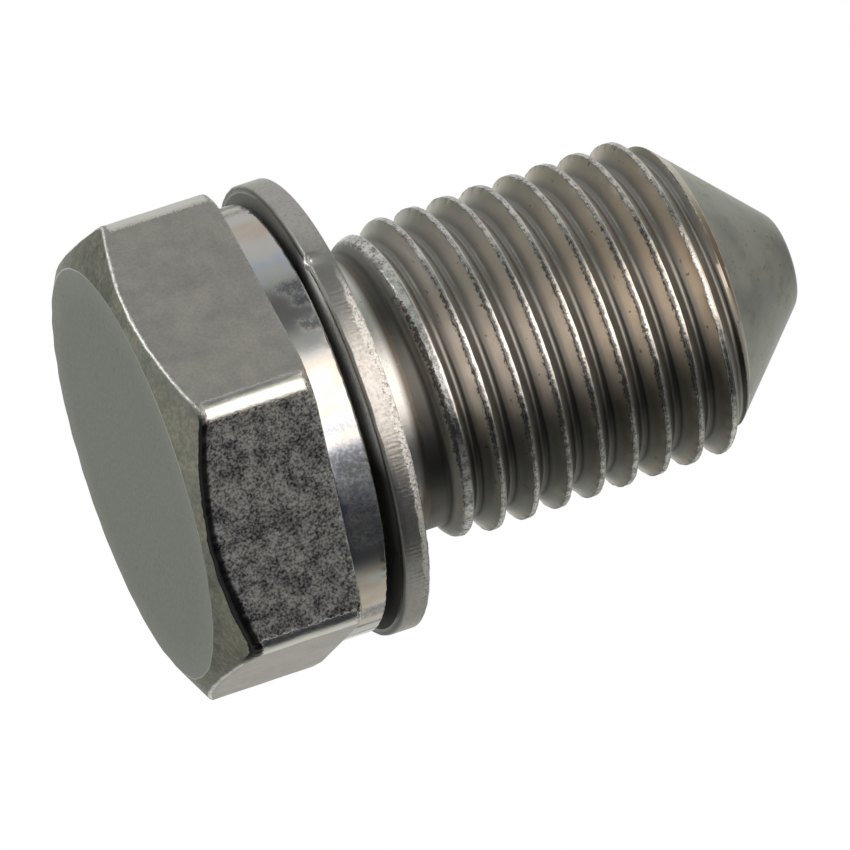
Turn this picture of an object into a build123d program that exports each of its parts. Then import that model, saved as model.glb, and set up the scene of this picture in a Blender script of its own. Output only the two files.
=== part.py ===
from build123d import *
import os
from math import ceil, radians, tan

# Oil drain plug with a captive sealing washer, in millimetres
# Origin: centre of the flat crown face that the plug stands on, with +Z along its axis to the tip

# Hexagon head
across_flats = 19.0
hex_height = 6.0
hex_edge_radius = 0.5
crown_inset = 0.55
crown_chamfer_angle = 30.0
hex_back_chamfer = 0.1

# Collar under the head
collar_diameter = 18.75
collar_height = 1.65
collar_edge_chamfer = 0.12

# Plain neck that carries the washer
neck_diameter = 12.1
neck_length = 3.4
neck_corner_chamfer = 0.3

# Rolled right-hand thread of the ISO basic profile
thread_diameter = 13.95
thread_pitch = 1.5
thread_length = 13.45
thread_flank_angle = 30.0
run_in_length = 2.3
run_in_depth = 0.47
groove_lead_turns = 0.54
groove_turns = 2

# Pilot cone with its rounded end
tip_half_angle = 45.0
tip_end_diameter = 3.8
tip_end_radius = 0.9

# Sealing washer
washer_thickness = 1.15
washer_ring_width = 3.35
washer_neck_clearance = 0.55
washer_collar_gap = 0.42
washer_roll_over = 0.2
washer_edge_break = 0.08

# Heights worked out from the sizes above
collar_top = hex_height + collar_height
thread_start = collar_top + neck_length
cone_start = thread_start + thread_length
collar_radius = collar_diameter / 2
thread_radius = thread_diameter / 2
neck_radius = neck_diameter / 2
tip_end_half = tip_end_diameter / 2
tip_top = cone_start + (thread_radius - tip_end_half) / tan(radians(tip_half_angle))

# The basic profile has a crest an eighth of the pitch wide and a root a quarter of it wide
crest_width = thread_pitch / 8
root_width = thread_pitch / 4
flank_slope = tan(radians(thread_flank_angle))
thread_depth = (thread_pitch - crest_width - root_width) / 2 / flank_slope
root_radius = thread_radius - thread_depth


# Thread groove: its form swept along two turns of the helix. Copies of it follow one another end
# to end, from the open air beside the neck to the open air beside the cone, where it runs out.
# Its form stands proud of the crest by half of what would make neighbouring turns meet.
groove_overshoot = crest_width / 2 / flank_slope / 2
groove_outer_radius = thread_radius + groove_overshoot
groove_outer_half = root_width / 2 + (thread_depth + groove_overshoot) * flank_slope
groove_start = thread_start - groove_lead_turns * thread_pitch
root_on_cone = cone_start + thread_depth / tan(radians(tip_half_angle))
groove_end = root_on_cone + groove_lead_turns * thread_pitch
groove_rise = groove_turns * thread_pitch
groove_count = ceil((groove_end - groove_start) / groove_rise)

with BuildPart() as thread_groove:
    with BuildLine():
        Helix(thread_pitch, groove_rise, root_radius, center=(0, 0, groove_start))
    with BuildSketch(Plane.XZ):
        Polygon(
            (root_radius, groove_start - root_width / 2),
            (root_radius, groove_start + root_width / 2),
            (groove_outer_radius, groove_start + groove_outer_half),
            (groove_outer_radius, groove_start - groove_outer_half),
            align=None,
        )
    sweep(is_frenet=True)


def corner_at(sketch, radius, height):
    """The corner of a section nearest to this radius and height."""
    return sketch.vertices().sort_by_distance((radius, height))[0]


# Plug body: forged hexagon head, turned collar and neck, rolled thread and pilot cone in one solid
with BuildPart() as drain_plug_body:
    with BuildSketch():
        RegularPolygon(across_flats / 2, 6, major_radius=False)
    extrude(amount=hex_height)
    fillet(drain_plug_body.edges().filter_by(Axis.Z), hex_edge_radius)
    chamfer(drain_plug_body.faces().sort_by(Axis.Z)[-1].edges(), hex_back_chamfer)

    # Crown chamfer: the head is kept inside a shallow cone that opens from the crown face
    with BuildSketch(Plane.XZ):
        crown_radius = across_flats / 2 - crown_inset
        cone_radius = across_flats
        cone_height = (cone_radius - crown_radius) * tan(radians(crown_chamfer_angle))
        Polygon(
            (0, 0),
            (crown_radius, 0),
            (cone_radius, cone_height),
            (cone_radius, cone_height + hex_height),
            (0, cone_height + hex_height),
            align=None,
        )
    revolve(axis=Axis.Z, mode=Mode.INTERSECT)

    # Turned collar, neck, thread blank and cone
    with BuildSketch(Plane.XZ) as shank_section:
        run_in_radius = thread_radius - run_in_depth
        Polygon(
            (0, hex_height),
            (collar_radius, hex_height),
            (collar_radius, collar_top),
            (neck_radius, collar_top),
            (neck_radius, thread_start),
            (run_in_radius, thread_start + run_in_radius - neck_radius),
            (thread_radius, thread_start + run_in_length),
            (thread_radius, cone_start),
            (tip_end_half, tip_top),
            (0, tip_top),
            align=None,
        )
        chamfer(corner_at(shank_section, collar_radius, collar_top), collar_edge_chamfer)
        chamfer(corner_at(shank_section, neck_radius, collar_top), neck_corner_chamfer)
        fillet(corner_at(shank_section, tip_end_half, tip_top), tip_end_radius)
    revolve(axis=Axis.Z)

    with Locations(*[(0, 0, k * groove_rise) for k in range(groove_count)]):
        add(thread_groove.part, mode=Mode.SUBTRACT)


# Sealing washer: a stamped ring, loose on the neck. Its head side has the rolled-over edge that
# the punch leaves, and the thread is larger than its bore, so it can't come off.
washer_bottom = collar_top + washer_collar_gap
washer_top = washer_bottom + washer_thickness
washer_bore_radius = neck_radius + washer_neck_clearance
washer_rim_radius = washer_bore_radius + washer_ring_width

with BuildPart() as sealing_washer:
    with BuildSketch(Plane.XZ):
        Polygon(
            (washer_bore_radius, washer_bottom),
            (washer_rim_radius, washer_bottom),
            (washer_rim_radius, washer_top),
            (washer_bore_radius, washer_top),
            align=None,
        )
    revolve(axis=Axis.Z)
    bore_edges = sealing_washer.edges().filter_by(GeomType.CIRCLE).sort_by(SortBy.RADIUS)[:2]
    rim_edges = sealing_washer.edges().filter_by(GeomType.CIRCLE).sort_by(SortBy.RADIUS)[-2:]
    chamfer(rim_edges.sort_by(Axis.Z)[0], washer_roll_over)
    chamfer(rim_edges.sort_by(Axis.Z)[1], washer_edge_break)
    chamfer(bore_edges, washer_edge_break)


os.makedirs("parts", exist_ok=True)
drain_plug_body.part.label = "drain_plug_body"
sealing_washer.part.label = "sealing_washer"
export_step(drain_plug_body.part, "parts/drain_plug_body.step")
export_step(sealing_washer.part, "parts/sealing_washer.step")
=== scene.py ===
import math

import bpy
import numpy as np
from mathutils import Matrix, Vector


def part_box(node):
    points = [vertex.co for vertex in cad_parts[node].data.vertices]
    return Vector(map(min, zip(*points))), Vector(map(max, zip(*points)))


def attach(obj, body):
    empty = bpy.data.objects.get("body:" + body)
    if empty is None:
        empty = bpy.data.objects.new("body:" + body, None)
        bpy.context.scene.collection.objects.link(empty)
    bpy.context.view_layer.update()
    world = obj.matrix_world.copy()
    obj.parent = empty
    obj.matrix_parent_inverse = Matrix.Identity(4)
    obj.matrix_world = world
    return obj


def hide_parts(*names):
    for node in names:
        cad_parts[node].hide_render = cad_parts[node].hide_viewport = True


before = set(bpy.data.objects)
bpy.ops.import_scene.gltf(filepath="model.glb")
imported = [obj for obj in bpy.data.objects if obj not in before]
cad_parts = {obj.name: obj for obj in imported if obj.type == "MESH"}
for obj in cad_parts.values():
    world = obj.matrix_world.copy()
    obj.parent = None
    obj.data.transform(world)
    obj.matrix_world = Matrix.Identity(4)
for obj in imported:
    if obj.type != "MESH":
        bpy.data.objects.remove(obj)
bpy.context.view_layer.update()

# Sizes. The build uses millimetres and turns them into metres when a mesh is made.

MM = 0.001
plug_low, plug_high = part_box("drain_plug_body")
washer_low, washer_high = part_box("sealing_washer")

CORNER_RADIUS = plug_high.x / MM
HALF_FLATS = plug_high.y / MM
TOTAL_HEIGHT = plug_high.z / MM
FACE_RADIUS = HALF_FLATS - 0.55
CROWN_ANGLE = math.radians(30.0)
CROWN_SLOPE = math.tan(CROWN_ANGLE)
HEX_HEIGHT = 6.0
HEX_SIDE = math.radians(60.0)
HEX_CORNER_ROUND = 0.9
CROWN_EDGE_ROUND = 0.14
BACK_EDGE_ROUND = 0.11
BACK_CORNER_ROUND = 0.35
COLLAR_RADIUS = 9.375
COLLAR_TOP = 7.65
COLLAR_EDGE_ROUND = 0.14
NECK_RADIUS = 6.05
NECK_FILLET = 0.3

PITCH = 1.5
FLANK_ANGLE = math.radians(30.0)
CREST_RADIUS = 6.975
ROOT_RADIUS = 6.1
ROOT_ROUND = 0.2165
FIRST_ROOT_ROUND = 0.4
CREST_HALF_WIDTH = 0.12
CREST_PHASE = 11.11
RUN_IN_START = 11.05
RUN_IN_KNEE = 11.505
RUN_IN_KNEE_RADIUS = 6.505
RUN_IN_END = 13.35
THREAD_BOTTOM = 10.93
THREAD_TOP = 25.5
TIP_RADIUS = 1.9
TIP_ROUND = 0.9
CONE_ANGLE = math.radians(45.0)
CONE_START = TOTAL_HEIGHT - (CREST_RADIUS - TIP_RADIUS)

WASHER_BOTTOM = washer_low.z / MM
WASHER_TOP = washer_high.z / MM
RIM_RADIUS = washer_high.y / MM
BORE_RADIUS = 6.6
RIM_ROLL = 0.16
WASHER_SHIFT = (-0.13, 0.045)
WASHER_TILT = (0.0116, -0.0083)

HEAD_COLUMNS = 600
SHANK_COLUMNS = 320
WASHER_COLUMNS = 1200
SHARP_ANGLE = math.radians(40.0)

# The photo's camera, in the part's frame: a long lens about 0.44 m away

CAMERA_PLACE = Vector((-0.16479479, -0.40060647, -0.09588274))
CAMERA_RIGHT = Vector((0.20126021, -0.33367143, 0.92084148))
CAMERA_UP = Vector((-0.90573961, 0.29462627, 0.30464642))
CAMERA_BACK = Vector((-0.37296437, -0.89535267, -0.24292289))
FOCAL_LENGTH = 451.7803
SENSOR_WIDTH = 36.0


def from_camera(right, up, toward):
    """A direction given as the photo's right, up and towards the camera, in the part's frame."""
    return (CAMERA_RIGHT * right + CAMERA_UP * up + CAMERA_BACK * toward).normalized()


# Numbers along a surface


class Ripple:
    """Smooth seeded noise over an angle and a height, closed round the axis. Its spread is about one."""

    def __init__(self, seed, round_low, round_high, along_low, along_high, waves=60):
        rng = np.random.default_rng(seed)
        self.turns = rng.integers(round_low, round_high + 1, waves)
        self.along = rng.uniform(along_low, along_high, waves) * rng.choice((-1, 1), waves)
        self.phase = rng.uniform(0, 2 * math.pi, waves)

    def __call__(self, angle, height=0.0):
        angle, height = np.broadcast_arrays(np.asarray(angle, float), np.asarray(height, float))
        total = np.zeros(angle.shape)
        for turns, along, phase in zip(self.turns, self.along, self.phase):
            total += np.cos(turns * angle + along * height + phase)
        return total * math.sqrt(2.0 / len(self.turns))


def ease(x, low, high):
    """Nothing up to low and one from high on, with a smooth rise between them."""
    t = np.clip((np.asarray(x, float) - low) / (high - low), 0.0, 1.0)
    return t * t * (3.0 - 2.0 * t)


def peak(x, centre, half_width):
    """One at the centre, falling smoothly to nothing at the half width."""
    return ease(1.0 - np.abs(np.asarray(x, float) - centre) / half_width, 0.0, 1.0)


def zone(x, limits):
    """One inside a zone that is given by where it begins, is full, starts to fade and ends."""
    begins, full, fades, ends = limits
    return ease(x, begins, full) * (1.0 - ease(x, fades, ends))


def soft_min(a, b, width):
    """The smaller of two, with the corner between them rounded."""
    return 0.5 * (a + b - np.sqrt((a - b) ** 2 + width * width))


# Rings of points, and the faces between them


class Skin:
    """A mesh of rings of points round the Z axis. Points have values, and faces have a material."""

    def __init__(self):
        self.points = []
        self.angles = []
        self.faces = []
        self.materials = []
        # One value holds torn grains on the washer's rim and dull patches on the collar, and also painted
        # shade on the thread, the neck and the flats' low edge, and painted light in the gap.
        self.values = {"wear": [], "grain": [], "lip": [], "tint": [], "shade": []}

    def ring(self, angle, radius, height, **values):
        """Adds points and returns their numbers."""
        angle = np.asarray(angle, float)
        radius = np.broadcast_to(radius, angle.shape)
        height = np.broadcast_to(height, angle.shape)
        first = len(self.points)
        self.points += list(zip(radius * np.cos(angle), radius * np.sin(angle), height))
        self.angles += list(angle)
        for name, numbers in self.values.items():
            numbers += list(np.broadcast_to(values.get(name, 0.0), angle.shape))
        return list(range(first, first + len(angle)))

    def face(self, corners, material):
        self.faces.append(tuple(corners))
        self.materials.append(material)

    def join(self, lower, upper, material):
        """Quads between two closed rings with as many points, or else triangles in order of angle."""
        if len(lower) == len(upper):
            for j in range(len(lower)):
                k = (j + 1) % len(lower)
                self.face((lower[j], lower[k], upper[k], upper[j]), material)
            return
        full_turn = 2 * math.pi
        lower_next = [self.angles[n] for n in lower[1:]] + [self.angles[lower[0]] + full_turn]
        upper_next = [self.angles[n] for n in upper[1:]] + [self.angles[upper[0]] + full_turn]
        i = j = 0
        while i < len(lower) or j < len(upper):
            here, there = lower[i % len(lower)], upper[j % len(upper)]
            if j == len(upper) or (i < len(lower) and lower_next[i] <= upper_next[j]):
                self.face((here, lower[(i + 1) % len(lower)], there), material)
                i += 1
            else:
                self.face((here, upper[(j + 1) % len(upper)], there), material)
                j += 1

    def chain(self, rings, material):
        for lower, upper in zip(rings, rings[1:]):
            self.join(lower, upper, material)

    def cap(self, ring, centre, material, facing_down=False):
        """Triangles from a closed ring to the point at its centre."""
        for here, there in zip(ring, ring[1:] + ring[:1]):
            self.face((centre, there, here) if facing_down else (here, there, centre), material)

    def build(self, name, materials):
        """An object in metres, with the values as point attributes and one slot for each material."""
        mesh = bpy.data.meshes.new(name)
        mesh.from_pydata([[c * MM for c in p] for p in self.points], [], self.faces)
        order = sorted(set(self.materials), key=list(materials).index)
        for key in order:
            mesh.materials.append(materials[key])
        mesh.polygons.foreach_set("material_index", [order.index(m) for m in self.materials])
        for key, numbers in self.values.items():
            layer = mesh.attributes.new(key, "FLOAT", "POINT")
            layer.data.foreach_set("value", np.asarray(numbers, np.float32))
        mesh.update()
        mesh.validate()
        mesh.polygons.foreach_set("use_smooth", [True] * len(mesh.polygons))
        mesh.set_sharp_from_angle(angle=SHARP_ANGLE)
        obj = bpy.data.objects.new(name, mesh)
        bpy.context.scene.collection.objects.link(obj)
        return obj


# The plug's head


# Small forms on the head, in millimetres
FACE_RINGS = (4.0, 7.2)
EDGE_ROUND = 0.24
FORGED_DEPTH = 0.02
JAGGED_DEPTH = 0.016
RAGGED_DEPTH = 0.006
FLAT_WAVE_DEPTH = 0.004
CORNER_WAVE_DEPTH = 0.04
CHIP_DEPTH = 0.09
CHATTER_DEPTH = 0.02
TURNED_DEPTH = 0.004
COLLAR_EDGE_DEPTH = 0.006

# Where the edge's round leaves the chamfer, as shares of its radius: rise, reach and drop
EDGE_RISE = 0.577
EDGE_REACH = 0.5
EDGE_DROP = 0.866

# Columns close together at each corner, and half the angle that they span
CORNER_COLUMNS = 22
CORNER_ZONE = math.radians(3.0)

# Turns round a small rounded edge at which it has a ring
EDGE_TURNS = np.radians([22.5, 45.0, 67.5, 90.0])

# Zones round the head, in degrees: where each begins, is full, starts to fade and ends
# The blunt edge is rounder, and its near black colour on the flats is painted shade.
BLUNT_SHADED_EDGE = (236.0, 244.0, 300.0, 312.0)
# Grit is on every flat; the dense dark pepper on the lower flat is partly painted shade.
GRITTY_SHADED_FLAT = (239.5, 241.0, 299.0, 300.5)

# Degrees between which the blunt edge widens, and off a corner between which wear ends
EDGE_WIDENS = (262.0, 296.0)
CORNER_WEAR_ENDS = (1.7, 3.4)

# Chips on the flats' back edge: angle and half width, in degrees
BACK_EDGE_CHIPS = ((284.6, 1.3), (292.8, 0.9), (262.0, 0.6))

# Stains on the collar: angle and half width in degrees, and strength, yellow or below zero blue
COLLAR_STAINS = (
    (176.0, 10.0, 0.30),
    (189.0, 9.0, 0.65),
    (203.0, 9.0, -0.75),
    (243.0, 12.0, 0.35),
    (258.0, 9.0, -0.9),
    (271.0, 15.0, -0.65),
    (304.0, 13.0, 0.85),
)

# Dull dark patches on it: angle and half width in degrees, strength, and distance from the head as a share.
# Those at 168 and 320 degrees are painted shade.
COLLAR_DULL_AND_SHADED_PATCHES = (
    (168.0, 14.0, 0.85, 0.0),
    (219.0, 15.0, 1.0, 0.35),
    (263.0, 18.0, 1.0, 0.0),
    (276.0, 18.0, 0.85, 0.0),
    (320.0, 9.0, 0.85, 0.0),
)
PATCH_FADE = 0.35

forged = Ripple(11, 6, 40, 0.6, 3.0)
jagged = Ripple(12, 60, 260, 1.0, 8.0, 90)
corner_wave = Ripple(13, 3, 30, 1.5, 4.0)
chatter = Ripple(14, 40, 150, 2.0, 9.0)
turned = Ripple(15, 2, 9, 6.0, 30.0)
smear = Ripple(16, 6, 50, 1.0, 4.0)


def edge_shine(turn):
    """Wear on a small rounded edge, strongest in its middle."""
    return peak(math.degrees(turn), 45.0, 50.0)


def head_angles():
    """Column angles, close together at the six corners and wider along the flats."""
    flat_columns = HEAD_COLUMNS // 6 - CORNER_COLUMNS
    corner = np.linspace(-CORNER_ZONE, CORNER_ZONE, CORNER_COLUMNS, endpoint=False)
    flat = np.linspace(CORNER_ZONE, HEX_SIDE - CORNER_ZONE, flat_columns, endpoint=False)
    one = np.concatenate([corner, flat])
    return np.concatenate([one + k * HEX_SIDE for k in range(6)])


def hexagon_radius(angle, round_radius):
    """Distance from the axis to the hexagon with rounded corners, the first corner on +X."""
    half_side = HEX_SIDE / 2
    off_corner = (angle + half_side) % HEX_SIDE - half_side
    off_flat = angle % HEX_SIDE - half_side
    flat = HALF_FLATS / np.cos(off_flat)
    centre = (HALF_FLATS - round_radius) / math.cos(half_side)
    inside = np.maximum(round_radius**2 - (centre * np.sin(off_corner)) ** 2, 0.0)
    arc = centre * np.cos(off_corner) + np.sqrt(inside)
    arc_ends = np.arctan2(round_radius * 0.5, centre + round_radius * math.cos(half_side))
    return np.where(np.abs(off_corner) < arc_ends, arc, flat)


def add_crown(skin, angle, face_edge):
    """The crown face and its bright edge. Returns the last ring, its radius and its height."""
    inner, outer = FACE_RINGS
    centre = skin.ring([0.0], 0.0, 0.0)[0]
    crown = [skin.ring(angle[::4], inner, 0.0), skin.ring(angle[::2], outer, 0.0)]
    crown_arc = math.tan(CROWN_ANGLE / 2) * CROWN_EDGE_ROUND
    for turn in np.radians([-90.0, -82.0, -74.0, -66.0, -60.0]):
        radius = face_edge - crown_arc + CROWN_EDGE_ROUND * math.cos(turn)
        height = CROWN_EDGE_ROUND * (1.0 + math.sin(turn))
        crown.append(skin.ring(angle, radius, height, wear=peak(math.degrees(turn), -75.0, 20.0)))
    skin.cap(crown[0], centre, "crown", facing_down=True)
    skin.chain(crown, "crown")
    return crown[-1], radius, height


def add_chamfer(skin, angle, face_edge, blunt_and_shaded, grit_and_shade):
    """The crown, its chamfer and the flats' rough edge. Returns the edge's last ring and its height."""
    degrees = np.degrees(angle) % 360.0
    wide_edge = blunt_and_shaded * (0.02 + 0.2 * ease(degrees, *EDGE_WIDENS))
    edge_round = EDGE_ROUND + wide_edge + FORGED_DEPTH * forged(angle) + JAGGED_DEPTH * jagged(angle)
    corner_round = HEX_CORNER_ROUND + CORNER_WAVE_DEPTH * corner_wave(angle, 0.0)
    edge_radius = hexagon_radius(angle, corner_round) + RAGGED_DEPTH * jagged(angle, 2.0)
    crown_ring, crown_radius, crown_height = add_crown(skin, angle, face_edge)

    edge_height = (edge_radius - face_edge) * CROWN_SLOPE + EDGE_RISE * edge_round
    arc_radius = edge_radius - edge_round
    end_radius = arc_radius + edge_round * EDGE_REACH
    end_height = edge_height - edge_round * EDGE_DROP
    chamfer = [crown_ring]
    for share in (0.25, 0.5, 0.75):
        radius = crown_radius * (1 - share) + end_radius * share
        height = crown_height * (1 - share) + end_height * share
        chamfer.append(skin.ring(angle, radius, height))
    edge = []
    for turn in np.radians(np.linspace(-60.0, 0.0, 9)):
        radius = arc_radius + edge_round * math.cos(turn)
        height = edge_height + edge_round * math.sin(turn)
        rough = RAGGED_DEPTH * jagged(angle, height * 3.0) * math.cos(turn * 1.5)
        worn = peak(turn, -0.5, 0.7) * (1.0 - blunt_and_shaded)
        edge.append(skin.ring(angle, radius + rough, height, wear=worn, grain=blunt_and_shaded, tint=grit_and_shade))
    skin.chain(chamfer + [edge[0]], "chamfer")
    skin.chain(edge, "flats")
    return edge[-1], edge_height


def add_flats(skin, angle, edge_ring, edge_height, grit_and_shade):
    """The six flats with worn corners and a chipped back edge. Returns the last ring."""
    degrees = np.degrees(angle) % 360.0
    off_corner = np.abs((degrees + 30.0) % 60.0 - 30.0)
    corner_wear = 1.0 - ease(off_corner, *CORNER_WEAR_ENDS)
    back_round = BACK_EDGE_ROUND + BACK_CORNER_ROUND * peak(off_corner, 0.0, 6.0)
    back = HEX_HEIGHT - back_round
    flats = [edge_ring]
    for share in (0.06, 0.15, 0.25, 0.38, 0.5, 0.62, 0.75, 0.88, 1.0):
        height = edge_height * (1 - share) + back * share
        round_here = HEX_CORNER_ROUND + CORNER_WAVE_DEPTH * corner_wave(angle, height)
        radius = hexagon_radius(angle, round_here) + FLAT_WAVE_DEPTH * forged(angle, height) * (1 - share)
        radius = np.minimum(radius, CORNER_RADIUS)
        flats.append(skin.ring(angle, radius, height, wear=corner_wear, tint=grit_and_shade))
    chips = sum(peak(degrees, place, half) for place, half in BACK_EDGE_CHIPS)
    nick = CHATTER_DEPTH * np.maximum(chatter(angle, 5.0) - 1.2, 0.0) + CHIP_DEPTH * chips
    for turn in EDGE_TURNS:
        radius = hexagon_radius(angle, HEX_CORNER_ROUND) - back_round * (1 - math.cos(turn)) - nick
        height = back + back_round * math.sin(turn)
        worn = np.maximum(0.7 * edge_shine(turn), chips)
        flats.append(skin.ring(angle, radius, height, wear=worn, tint=grit_and_shade))
    skin.chain(flats, "flats")
    return flats[-1]


def add_collar(skin, angle, flats_ring):
    """The head's back and the turned collar with its stains. Returns the last ring."""
    under = [flats_ring, skin.ring(angle, COLLAR_RADIUS, HEX_HEIGHT)]
    skin.chain(under, "collar")
    stained = np.degrees(angle) % 360.0 + 2.5 * smear(angle)
    stain = sum(strength * peak(stained, place, half) for place, half, strength in COLLAR_STAINS)
    collar = [under[-1]]
    top = COLLAR_TOP - COLLAR_EDGE_ROUND
    for share in (0.03, 0.12, 0.25, 0.4, 0.55, 0.7, 0.85, 1.0):
        height = HEX_HEIGHT * (1 - share) + top * share
        dent = TURNED_DEPTH * turned(angle, height) * math.sin(math.pi * share)
        dull = np.zeros(len(angle))
        ragged_share = share + 0.1 * smear(angle, height)
        for place, half, strength, clear in COLLAR_DULL_AND_SHADED_PATCHES:
            shown = ease(ragged_share, clear - PATCH_FADE, clear + PATCH_FADE)
            dull = np.maximum(dull, strength * shown * peak(stained, place, half))
        collar.append(skin.ring(angle, COLLAR_RADIUS + dent, height, tint=stain, grain=dull))
    uneven = COLLAR_EDGE_DEPTH * chatter(angle, 1.0)
    for turn in EDGE_TURNS:
        radius = COLLAR_RADIUS - COLLAR_EDGE_ROUND * (1 - math.cos(turn)) + uneven
        height = top + COLLAR_EDGE_ROUND * math.sin(turn)
        collar.append(skin.ring(angle, radius, height, wear=edge_shine(turn), tint=stain, grain=dull))
    skin.chain(collar, "collar")
    return collar[-1]


def add_head(skin):
    """Crown face, crown chamfer, flats and collar. Returns the ring at the collar's inner edge."""
    angle = head_angles()
    degrees = np.degrees(angle) % 360.0
    blunt_and_shaded = zone(degrees, BLUNT_SHADED_EDGE)
    grit_and_shade = 0.16 + 0.84 * zone(degrees, GRITTY_SHADED_FLAT)
    face_edge = FACE_RADIUS + FORGED_DEPTH * forged(angle, 1.0)
    edge_ring, edge_height = add_chamfer(skin, angle, face_edge, blunt_and_shaded, grit_and_shade)
    return add_collar(skin, angle, add_flats(skin, angle, edge_ring, edge_height, grit_and_shade))


# The plug's shank


# Zones round the shank, given like those of the head
LIT_SIDE = (208.0, 226.0, 256.0, 270.0)
ROLLED_OVER = (205.0, 232.0, 272.0, 300.0)
BLACK_ROOTS = (228.0, 256.0, 338.0, 360.0)
UNDERSIDE = (246.0, 270.0, 338.0, 360.0)
LOW_SIDE = (262.0, 288.0, 338.0, 360.0)
SHADED_SIDE = (255.0, 300.0, 338.0, 360.0)

# Degrees between which the top and its bright edge end, the shade eases and the hidden side begins
TOP_ENDS = (188.0, 212.0)
TOP_EDGE_ENDS = (168.0, 182.0)
SHADE_EASES = (310.0, 345.0)
HIDDEN_BEGINS = (338.0, 360.0)

# Heights between which the thread turns brown, and the last turn and its rust begin
BROWN_GROWS = (13.0, 23.0)
LAST_TURN = (23.4, 24.2)
RUST_GROWS = (23.4, 24.4)
RUST_PLACE = (238.0, 45.0)

# Painted shade in the thread's grooves: one is dull grey and two is nearly black
ROOT_SHADE = 1.4
RUN_IN_SHADE = 1.85

# Painted shade darkens the neck from this height on, and sooner low on it: angle and half width in degrees
NECK_SHADE_HEIGHT = 10.42
NECK_SHADE_LOWER = 0.45
NECK_SHADE_PLACE = (322.0, 36.0)

# Turns between which the thread rises out of the blank, and its first turn and wide root end
THREAD_RISES = (0.0, 0.2)
FIRST_TURN_ENDS = (0.75, 1.15)
WIDE_ROOT_ENDS = (0.6, 1.6)

# Radius of the blank between which the crest begins
CREST_BEGINS = (6.2, 6.4)

# Small forms on the thread, in millimetres
FORM_ROUND = 0.035
HEAD_LIP_REACH = 0.09
TIP_LIP_REACH = 0.07
SEAM_DEPTH = 0.016
CREST_WAVE_DEPTH = 0.004
FLANK_WAVE_DEPTH = 0.003
CONE_WAVE_DEPTH = 0.004

# The thread's rows stop this far off the level rings at its ends
ROW_CLEARANCE = 0.03

lip_wave = Ripple(21, 50, 170, 0.5, 4.0, 90)
lip_lumps = Ripple(22, 12, 60, 0.5, 3.0, 60)
crest_wave = Ripple(23, 30, 170, 1.0, 6.0, 80)
flank_wave = Ripple(24, 4, 30, 0.5, 2.0, 40)
cone_wave = Ripple(31, 30, 90, 1.0, 6.0)


def neck_profile():
    """Radius and height of the collar's washer side, its fillet and the neck."""
    yield 8.3, COLLAR_TOP
    yield NECK_RADIUS + NECK_FILLET, COLLAR_TOP
    for turn in np.radians([25.0, 50.0, 70.0, 90.0]):
        yield (
            NECK_RADIUS + NECK_FILLET * (1 - math.sin(turn)),
            COLLAR_TOP + NECK_FILLET * (1 - math.cos(turn)),
        )
    for height in (8.6, 9.4, 10.0, 10.35, 10.5, 10.65, 10.78, 10.86):
        yield float(blank_radius(np.array(height))), height


def blank_radius(height):
    """The rolled blank: neck, 45 degree step, long run-in and the cone at the tip."""
    step = NECK_RADIUS + (height - RUN_IN_START)
    slope = (CREST_RADIUS - RUN_IN_KNEE_RADIUS) / (RUN_IN_END - RUN_IN_KNEE)
    run_in = RUN_IN_KNEE_RADIUS + slope * (height - RUN_IN_KNEE)
    start = soft_min(step, run_in, 0.12)
    start = -soft_min(-start, -NECK_RADIUS, 0.16)
    cone = CREST_RADIUS - (height - CONE_START)
    return np.minimum(soft_min(start, np.full_like(start, CREST_RADIUS), 0.03), cone)


def groove_foot(root_round):
    """Where a flank meets the round root: its distance from the crest's middle line, and its radius."""
    return PITCH / 2 - root_round * math.cos(FLANK_ANGLE), ROOT_RADIUS + root_round / 2


def groove_radius(offset, root_round):
    """Radius of the thread form at a distance from the crest's middle line, along the axis."""
    foot, foot_radius = groove_foot(root_round)
    from_root = PITCH / 2 - offset
    arc = ROOT_RADIUS + root_round - np.sqrt(np.maximum(root_round**2 - from_root**2, 0.0))
    flank = foot_radius + (foot - offset) / math.tan(FLANK_ANGLE)
    return np.where(offset > foot, arc, flank)


def crest_half_width(blank, root_round):
    """Half the width of the crest that the grooves leave on a blank of this radius."""
    foot, foot_radius = groove_foot(root_round)
    return foot - (blank - foot_radius) * math.tan(FLANK_ANGLE)


def thread_offsets():
    """Row places across one pitch, from the crest's middle line, closest at the lips and the root."""
    half = [0.05, 0.09, 0.12, 0.155, 0.25, 0.4, 0.55, 0.61, 0.68]
    return np.array([-v for v in reversed(half)] + [0.0] + half + [PITCH / 2])


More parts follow.
